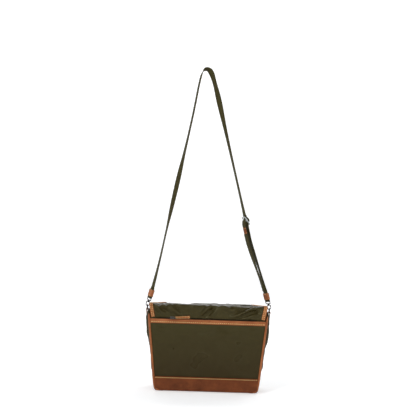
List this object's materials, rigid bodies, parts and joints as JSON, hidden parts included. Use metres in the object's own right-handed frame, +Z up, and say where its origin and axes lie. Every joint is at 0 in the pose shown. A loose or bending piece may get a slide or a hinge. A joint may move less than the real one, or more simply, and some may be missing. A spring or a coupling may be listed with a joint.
{
  "type": "crossbody purse",
  "caption": "Flap-over crossbody purse in nylon with leather trim, a zipped rear pocket and an adjustable webbing strap on swivel snap hooks.",
  "frame": {"origin": "middle of the underside of the base", "axes": "+Z up, +X to the right seen from the rear pocket, -Y out of the rear pocket, +Y out of the flap"},
  "size_m": [0.295, 0.0975, 0.7508],
  "materials": {
    "nylon": "satin",
    "webbing": "matte",
    "lining": "satin",
    "board": "matte",
    "leather_trim": "satin",
    "hook_metal": "satin",
    "zip_metal": "satin",
    "slider_metal": "polished"
  },
  "bodies": {
    "bag": {"base_panel": "leather_trim", "base_board": "board", "rear_panel": "nylon", "front_panel": "nylon", "left_gusset": "nylon", "right_gusset": "nylon", "left_base_band": "leather_trim", "right_base_band": "leather_trim", "rear_base_band": "leather_trim", "front_base_band": "leather_trim", "rear_right_piping": "leather_trim", "rear_left_piping": "leather_trim", "front_right_piping": "leather_trim", "front_left_piping": "leather_trim", "lining": "lining", "rear_pocket_panel": "nylon", "pocket_strip": "leather_trim", "zip_tape": "webbing", "zip_teeth": "zip_metal", "flap_back": "nylon", "flap_back_right_trim": "leather_trim", "flap_back_left_trim": "leather_trim", "front_stud": "hook_metal", "left_ring_tab": "leather_trim", "right_ring_tab": "leather_trim"},
    "flap_top": {"flap_top": "nylon", "flap_top_right_trim": "leather_trim", "flap_top_left_trim": "leather_trim"},
    "flap_front": {"flap_front": "nylon", "flap_front_trim": "leather_trim", "flap_stud": "hook_metal"},
    "left_ring": {"left_d_ring": "hook_metal"},
    "right_ring": {"right_d_ring": "hook_metal"},
    "left_hook": {"left_hook_body": "hook_metal"},
    "right_hook": {"right_hook_body": "hook_metal"},
    "left_gate": {"left_gate": "hook_metal"},
    "right_gate": {"right_gate": "hook_metal"},
    "strap": {"left_hook_eye": "hook_metal", "right_hook_eye": "hook_metal", "left_keeper": "leather_trim", "right_keeper": "leather_trim", "left_strap_fold": "webbing", "right_strap_fold": "webbing", "strap_webbing": "webbing", "strap_slide_run": "webbing", "strap_lower_run": "webbing", "strap_return": "webbing"},
    "adjuster": {"adjuster_frame": "slider_metal", "adjuster_fold": "webbing", "adjuster_keeper": "leather_trim"},
    "zip_slider": {"zip_slider": "zip_metal"},
    "zip_pull": {"pull_link": "zip_metal", "pull_tab": "leather_trim"}
  },
  "joints": [
    {"name": "flap_lift", "type": "hinge", "parent": "bag", "child": "flap_top", "pos_m": [0, -0.042, 0.1984], "axis": [1, 0, 0], "range_deg": [0, 90]},
    {"name": "flap_fold", "type": "hinge", "parent": "flap_top", "child": "flap_front", "pos_m": [0, 0.0443, 0.1984], "axis": [1, 0, 0], "range_deg": [0, 90]},
    {"name": "strap_swing", "type": "hinge", "parent": "bag", "child": "strap", "pos_m": [0, 0, 0.183], "axis": [-1, 0, 0], "range_deg": [-25, 55]},
    {"name": "left_ring_tilt", "type": "hinge", "parent": "bag", "child": "left_ring", "pos_m": [-0.143, 0, 0.183], "axis": [0, -1, 0], "range_deg": [-5, 2.5]},
    {"name": "left_hook_swivel", "type": "hinge", "parent": "strap", "child": "left_hook", "pos_m": [-0.14086, 0, 0.20121], "axis": [0.2672, 0, 0.9636], "range_deg": [-25, 25]},
    {"name": "left_gate_open", "type": "hinge", "parent": "left_hook", "child": "left_gate", "pos_m": [-0.14527, 0, 0.19922], "axis": [0, -1, 0], "range_deg": [0, 35], "stiffness_Nm_per_rad": 0.004, "springref_deg": -17.19},
    {"name": "right_ring_tilt", "type": "hinge", "parent": "bag", "child": "right_ring", "pos_m": [0.143, 0, 0.183], "axis": [0, 1, 0], "range_deg": [-5, 2.5]},
    {"name": "right_hook_swivel", "type": "hinge", "parent": "strap", "child": "right_hook", "pos_m": [0.14086, 0, 0.20121], "axis": [-0.2672, 0, 0.9636], "range_deg": [-25, 25]},
    {"name": "right_gate_open", "type": "hinge", "parent": "right_hook", "child": "right_gate", "pos_m": [0.14527, 0, 0.19922], "axis": [0, 1, 0], "range_deg": [0, 35], "stiffness_Nm_per_rad": 0.004, "springref_deg": -17.19},
    {"name": "adjuster_slide", "type": "slide", "parent": "strap", "child": "adjuster", "axis": [-0.2501, 0, 0.9682], "range_m": [0, 0.12], "deforming": ["strap_return"]},
    {"name": "zip_slide", "type": "slide", "parent": "bag", "child": "zip_slider", "axis": [1, 0, 0], "range_m": [-0.024, 0.18]},
    {"name": "pull_swing", "type": "hinge", "parent": "zip_slider", "child": "zip_pull", "pos_m": [-0.0783, -0.0478, 0.1694], "axis": [0, 0, -1], "range_deg": [0, 100]}
  ]
}
